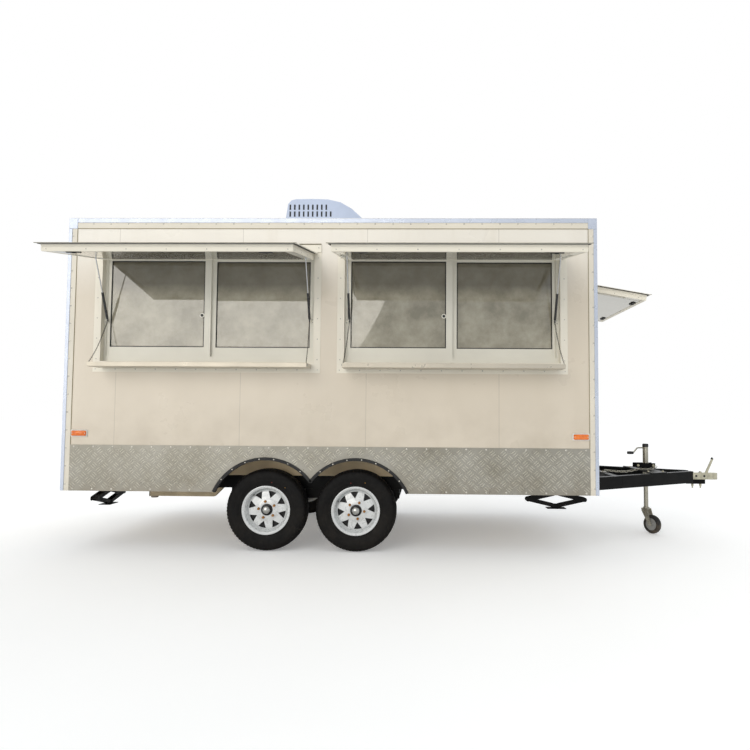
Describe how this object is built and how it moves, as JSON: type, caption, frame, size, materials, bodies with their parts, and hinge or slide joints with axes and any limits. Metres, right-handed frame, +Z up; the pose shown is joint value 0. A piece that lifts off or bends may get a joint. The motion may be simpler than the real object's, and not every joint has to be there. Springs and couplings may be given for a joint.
{
  "type": "food trailer",
  "caption": "Tandem-axle catering trailer with box body, gas-strut serving flaps over sliding windows, fold-up shelves, rear door, drawbar with coupler, jockey wheel and corner jacks.",
  "frame": {"origin": "centre of the coupler's ball socket", "axes": "+X forward along the trailer towards the coupler, +Y to the trailer's left, +Z up; the ground is 0.49 m below the origin"},
  "size_m": [5.367, 2.8525, 2.892],
  "materials": {
    "black_paint": "gloss",
    "floor": "satin",
    "cream_panel": "gloss",
    "white_trim": "satin",
    "tread_plate": "bright",
    "window_aluminium": "satin",
    "glass": "clear",
    "tyre": "matt",
    "rim": "satin",
    "flap_panel": "gloss",
    "strut_black": "satin",
    "strut_steel": "polished",
    "shelf_steel": "brushed",
    "zinc": "plated",
    "castor_rubber": "matt",
    "jack_black": "satin",
    "unit_white": "satin",
    "amber": "clear"
  },
  "bodies": {
    "trailer": {"chassis_frame": "black_paint", "floor_panel": "floor", "right_wall": "cream_panel", "left_wall": "cream_panel", "front_wall": "cream_panel", "rear_wall": "cream_panel", "roof_panel": "cream_panel", "body_trims": "white_trim", "skirt_plates": "tread_plate", "sprung_axles": "black_paint", "opening_trims": "white_trim", "window_frames": "window_aluminium", "window_glass": "glass", "coupler": "zinc", "jockey_tube": "zinc", "air_conditioner": "unit_white", "lamps": "amber"},
    "rear_right_wheel": {"rear_right_tyre": "tyre", "rear_right_rim": "rim"},
    "rear_left_wheel": {"rear_left_tyre": "tyre", "rear_left_rim": "rim"},
    "front_right_wheel": {"front_right_tyre": "tyre", "front_right_rim": "rim"},
    "front_left_wheel": {"front_left_tyre": "tyre", "front_left_rim": "rim"},
    "rear_flap": {"rear_flap": "flap_panel"},
    "rear_strut_tubes": {"rear_strut_tubes": "strut_black"},
    "rear_strut_rods": {"rear_strut_rods": "strut_steel"},
    "rear_shelf": {"rear_shelf": "shelf_steel"},
    "forward_flap": {"forward_flap": "flap_panel"},
    "forward_strut_tubes": {"forward_strut_tubes": "strut_black"},
    "forward_strut_rods": {"forward_strut_rods": "strut_steel"},
    "forward_shelf": {"forward_shelf": "shelf_steel"},
    "nose_flap": {"nose_flap": "flap_panel"},
    "nose_strut_tubes": {"nose_strut_tubes": "strut_black"},
    "nose_strut_rods": {"nose_strut_rods": "strut_steel"},
    "entry_door": {"entry_door": "cream_panel"},
    "jockey_leg": {"jockey_leg": "zinc"},
    "jockey_fork": {"jockey_fork": "zinc"},
    "jockey_wheel": {"jockey_wheel": "castor_rubber"},
    "front_right_jack_upper_arm_a": {"front_right_jack_upper_arm_a": "jack_black"},
    "front_right_jack_lower_arm_a": {"front_right_jack_lower_arm_a": "jack_black"},
    "front_right_jack_foot": {"front_right_jack_foot": "jack_black"},
    "front_right_jack_upper_arm_b": {"front_right_jack_upper_arm_b": "jack_black"},
    "front_right_jack_lower_arm_b": {"front_right_jack_lower_arm_b": "jack_black"},
    "front_left_jack_upper_arm_a": {"front_left_jack_upper_arm_a": "jack_black"},
    "front_left_jack_lower_arm_a": {"front_left_jack_lower_arm_a": "jack_black"},
    "front_left_jack_foot": {"front_left_jack_foot": "jack_black"},
    "front_left_jack_upper_arm_b": {"front_left_jack_upper_arm_b": "jack_black"},
    "front_left_jack_lower_arm_b": {"front_left_jack_lower_arm_b": "jack_black"},
    "rear_right_jack_upper_arm_a": {"rear_right_jack_upper_arm_a": "jack_black"},
    "rear_right_jack_lower_arm_a": {"rear_right_jack_lower_arm_a": "jack_black"},
    "rear_right_jack_foot": {"rear_right_jack_foot": "jack_black"},
    "rear_right_jack_upper_arm_b": {"rear_right_jack_upper_arm_b": "jack_black"},
    "rear_right_jack_lower_arm_b": {"rear_right_jack_lower_arm_b": "jack_black"},
    "rear_left_jack_upper_arm_a": {"rear_left_jack_upper_arm_a": "jack_black"},
    "rear_left_jack_lower_arm_a": {"rear_left_jack_lower_arm_a": "jack_black"},
    "rear_left_jack_foot": {"rear_left_jack_foot": "jack_black"},
    "rear_left_jack_upper_arm_b": {"rear_left_jack_upper_arm_b": "jack_black"},
    "rear_left_jack_lower_arm_b": {"rear_left_jack_lower_arm_b": "jack_black"}
  },
  "joints": [
    {"name": "rear_right_wheel_spin", "type": "hinge", "parent": "trailer", "child": "rear_right_wheel", "pos_m": [-3.754, -0.8825, -0.185], "axis": [0, 1, 0], "continuous": true},
    {"name": "rear_left_wheel_spin", "type": "hinge", "parent": "trailer", "child": "rear_left_wheel", "pos_m": [-3.754, 0.8825, -0.185], "axis": [0, 1, 0], "continuous": true},
    {"name": "front_right_wheel_spin", "type": "hinge", "parent": "trailer", "child": "front_right_wheel", "pos_m": [-3.082, -0.8825, -0.185], "axis": [0, 1, 0], "continuous": true},
    {"name": "front_left_wheel_spin", "type": "hinge", "parent": "trailer", "child": "front_left_wheel", "pos_m": [-3.082, 0.8825, -0.185], "axis": [0, 1, 0], "continuous": true},
    {"name": "rear_flap_hinge", "type": "hinge", "parent": "trailer", "child": "rear_flap", "pos_m": [-4.2175, -1.01, 1.748], "axis": [1, 0, 0], "range_deg": [0, 80]},
    {"name": "rear_strut_swing", "type": "hinge", "parent": "trailer", "child": "rear_strut_tubes", "pos_m": [-4.2175, -0.972, 1.24], "axis": [1, 0, 0], "range_deg": [-25.15, 0]},
    {"name": "rear_strut_slide", "type": "slide", "parent": "rear_strut_tubes", "child": "rear_strut_rods", "axis": [0, -0.4359, 0.9], "range_m": [-0.16854, 0]},
    {"name": "rear_shelf_hinge", "type": "hinge", "parent": "trailer", "child": "rear_shelf", "pos_m": [-4.2175, -1.017, 0.902], "axis": [-1, 0, 0], "range_deg": [0, 90]},
    {"name": "forward_flap_hinge", "type": "hinge", "parent": "trailer", "child": "forward_flap", "pos_m": [-2.3715, -1.01, 1.748], "axis": [1, 0, 0], "range_deg": [0, 80]},
    {"name": "forward_strut_swing", "type": "hinge", "parent": "trailer", "child": "forward_strut_tubes", "pos_m": [-2.3715, -0.972, 1.24], "axis": [1, 0, 0], "range_deg": [-25.15, 0]},
    {"name": "forward_strut_slide", "type": "slide", "parent": "forward_strut_tubes", "child": "forward_strut_rods", "axis": [0, -0.4359, 0.9], "range_m": [-0.16854, 0]},
    {"name": "forward_shelf_hinge", "type": "hinge", "parent": "trailer", "child": "forward_shelf", "pos_m": [-2.3715, -1.017, 0.902], "axis": [-1, 0, 0], "range_deg": [0, 90]},
    {"name": "nose_flap_hinge", "type": "hinge", "parent": "trailer", "child": "nose_flap", "pos_m": [-1.28, 0, 1.608], "axis": [0, 1, 0], "range_deg": [0, 80]},
    {"name": "nose_strut_swing", "type": "hinge", "parent": "trailer", "child": "nose_strut_tubes", "pos_m": [-1.318, 0, 1.278], "axis": [0, 1, 0], "range_deg": [-27.51, 0]},
    {"name": "nose_strut_slide", "type": "slide", "parent": "nose_strut_tubes", "child": "nose_strut_rods", "axis": [0.4786, 0, 0.878], "range_m": [-0.10395, 0]},
    {"name": "entry_door_hinge", "type": "hinge", "parent": "trailer", "child": "entry_door", "pos_m": [-5.304, 0.383, 1], "axis": [0, 0, -1], "range_deg": [0, 110]},
    {"name": "jockey_slide", "type": "slide", "parent": "trailer", "child": "jockey_leg", "axis": [0, 0, -1], "range_m": [-0.18, 0.08]},
    {"name": "jockey_swivel", "type": "hinge", "parent": "jockey_leg", "child": "jockey_fork", "pos_m": [-0.59, 0, -0.275], "axis": [0, 0, 1], "continuous": true},
    {"name": "jockey_wheel_spin", "type": "hinge", "parent": "jockey_fork", "child": "jockey_wheel", "pos_m": [-0.55559, -0.04915, -0.41], "axis": [0.8192, 0.5736, 0], "continuous": true},
    {"name": "front_right_jack_crank", "type": "hinge", "parent": "trailer", "child": "front_right_jack_upper_arm_a", "pos_m": [-1.521, -0.72, -0.068], "axis": [0, 1, 0], "range_deg": [-6, 57]},
    {"name": "front_right_jack_trunnion_a", "type": "hinge", "parent": "front_right_jack_upper_arm_a", "child": "front_right_jack_lower_arm_a", "pos_m": [-1.32613, -0.72, -0.11299], "axis": [0, 1, 0], "range_deg": [-114, 12]},
    {"name": "front_right_jack_foot_pin", "type": "hinge", "parent": "front_right_jack_lower_arm_a", "child": "front_right_jack_foot", "pos_m": [-1.521, -0.72, -0.15798], "axis": [0, 1, 0], "range_deg": [-6, 57]},
    {"name": "front_right_jack_top_pin_b", "type": "hinge", "parent": "trailer", "child": "front_right_jack_upper_arm_b", "pos_m": [-1.569, -0.72, -0.068], "axis": [0, 1, 0], "range_deg": [-57, 6]},
    {"name": "front_right_jack_trunnion_b", "type": "hinge", "parent": "front_right_jack_upper_arm_b", "child": "front_right_jack_lower_arm_b", "pos_m": [-1.76387, -0.72, -0.11299], "axis": [0, 1, 0], "range_deg": [-12, 114]},
    {"name": "front_left_jack_crank", "type": "hinge", "parent": "trailer", "child": "front_left_jack_upper_arm_a", "pos_m": [-1.521, 0.72, -0.068], "axis": [0, 1, 0], "range_deg": [-6, 57]},
    {"name": "front_left_jack_trunnion_a", "type": "hinge", "parent": "front_left_jack_upper_arm_a", "child": "front_left_jack_lower_arm_a", "pos_m": [-1.32613, 0.72, -0.11299], "axis": [0, 1, 0], "range_deg": [-114, 12]},
    {"name": "front_left_jack_foot_pin", "type": "hinge", "parent": "front_left_jack_lower_arm_a", "child": "front_left_jack_foot", "pos_m": [-1.521, 0.72, -0.15798], "axis": [0, 1, 0], "range_deg": [-6, 57]},
    {"name": "front_left_jack_top_pin_b", "type": "hinge", "parent": "trailer", "child": "front_left_jack_upper_arm_b", "pos_m": [-1.569, 0.72, -0.068], "axis": [0, 1, 0], "range_deg": [-57, 6]},
    {"name": "front_left_jack_trunnion_b", "type": "hinge", "parent": "front_left_jack_upper_arm_b", "child": "front_left_jack_lower_arm_b", "pos_m": [-1.76387, 0.72, -0.11299], "axis": [0, 1, 0], "range_deg": [-12, 114]},
    {"name": "rear_right_jack_crank", "type": "hinge", "parent": "trailer", "child": "rear_right_jack_upper_arm_a", "pos_m": [-5.06, -0.696, -0.068], "axis": [-1, 0, 0], "range_deg": [-6, 57]},
    {"name": "rear_right_jack_trunnion_a", "type": "hinge", "parent": "rear_right_jack_upper_arm_a", "child": "rear_right_jack_lower_arm_a", "pos_m": [-5.06, -0.50113, -0.11299], "axis": [-1, 0, 0], "range_deg": [-114, 12]},
    {"name": "rear_right_jack_foot_pin", "type": "hinge", "parent": "rear_right_jack_lower_arm_a", "child": "rear_right_jack_foot", "pos_m": [-5.06, -0.696, -0.15798], "axis": [-1, 0, 0], "range_deg": [-6, 57]},
    {"name": "rear_right_jack_top_pin_b", "type": "hinge", "parent": "trailer", "child": "rear_right_jack_upper_arm_b", "pos_m": [-5.06, -0.744, -0.068], "axis": [-1, 0, 0], "range_deg": [-57, 6]},
    {"name": "rear_right_jack_trunnion_b", "type": "hinge", "parent": "rear_right_jack_upper_arm_b", "child": "rear_right_jack_lower_arm_b", "pos_m": [-5.06, -0.93887, -0.11299], "axis": [-1, 0, 0], "range_deg": [-12, 114]},
    {"name": "rear_left_jack_crank", "type": "hinge", "parent": "trailer", "child": "rear_left_jack_upper_arm_a", "pos_m": [-5.06, 0.744, -0.068], "axis": [-1, 0, 0], "range_deg": [-6, 57]},
    {"name": "rear_left_jack_trunnion_a", "type": "hinge", "parent": "rear_left_jack_upper_arm_a", "child": "rear_left_jack_lower_arm_a", "pos_m": [-5.06, 0.93887, -0.11299], "axis": [-1, 0, 0], "range_deg": [-114, 12]},
    {"name": "rear_left_jack_foot_pin", "type": "hinge", "parent": "rear_left_jack_lower_arm_a", "child": "rear_left_jack_foot", "pos_m": [-5.06, 0.744, -0.15798], "axis": [-1, 0, 0], "range_deg": [-6, 57]},
    {"name": "rear_left_jack_top_pin_b", "type": "hinge", "parent": "trailer", "child": "rear_left_jack_upper_arm_b", "pos_m": [-5.06, 0.696, -0.068], "axis": [-1, 0, 0], "range_deg": [-57, 6]},
    {"name": "rear_left_jack_trunnion_b", "type": "hinge", "parent": "rear_left_jack_upper_arm_b", "child": "rear_left_jack_lower_arm_b", "pos_m": [-5.06, 0.50113, -0.11299], "axis": [-1, 0, 0], "range_deg": [-12, 114]}
  ],
  "couplings": [
    {"joint": "rear_strut_swing", "follows": "rear_flap_hinge", "ratio": -0.31419},
    {"joint": "rear_strut_slide", "follows": "rear_flap_hinge", "m_per_rad": -0.1207},
    {"joint": "forward_strut_swing", "follows": "forward_flap_hinge", "ratio": -0.31419},
    {"joint": "forward_strut_slide", "follows": "forward_flap_hinge", "m_per_rad": -0.1207},
    {"joint": "nose_strut_swing", "follows": "nose_flap_hinge", "ratio": -0.3438},
    {"joint": "nose_strut_slide", "follows": "nose_flap_hinge", "m_per_rad": -0.07444},
    {"joint": "front_right_jack_trunnion_a", "follows": "front_right_jack_crank", "ratio": -2},
    {"joint": "front_right_jack_foot_pin", "follows": "front_right_jack_crank", "ratio": 1},
    {"joint": "front_right_jack_top_pin_b", "follows": "front_right_jack_crank", "ratio": -1},
    {"joint": "front_right_jack_trunnion_b", "follows": "front_right_jack_crank", "ratio": 2},
    {"joint": "front_left_jack_trunnion_a", "follows": "front_left_jack_crank", "ratio": -2},
    {"joint": "front_left_jack_foot_pin", "follows": "front_left_jack_crank", "ratio": 1},
    {"joint": "front_left_jack_top_pin_b", "follows": "front_left_jack_crank", "ratio": -1},
    {"joint": "front_left_jack_trunnion_b", "follows": "front_left_jack_crank", "ratio": 2},
    {"joint": "rear_right_jack_trunnion_a", "follows": "rear_right_jack_crank", "ratio": -2},
    {"joint": "rear_right_jack_foot_pin", "follows": "rear_right_jack_crank", "ratio": 1},
    {"joint": "rear_right_jack_top_pin_b", "follows": "rear_right_jack_crank", "ratio": -1},
    {"joint": "rear_right_jack_trunnion_b", "follows": "rear_right_jack_crank", "ratio": 2},
    {"joint": "rear_left_jack_trunnion_a", "follows": "rear_left_jack_crank", "ratio": -2},
    {"joint": "rear_left_jack_foot_pin", "follows": "rear_left_jack_crank", "ratio": 1},
    {"joint": "rear_left_jack_top_pin_b", "follows": "rear_left_jack_crank", "ratio": -1},
    {"joint": "rear_left_jack_trunnion_b", "follows": "rear_left_jack_crank", "ratio": 2}
  ]
}
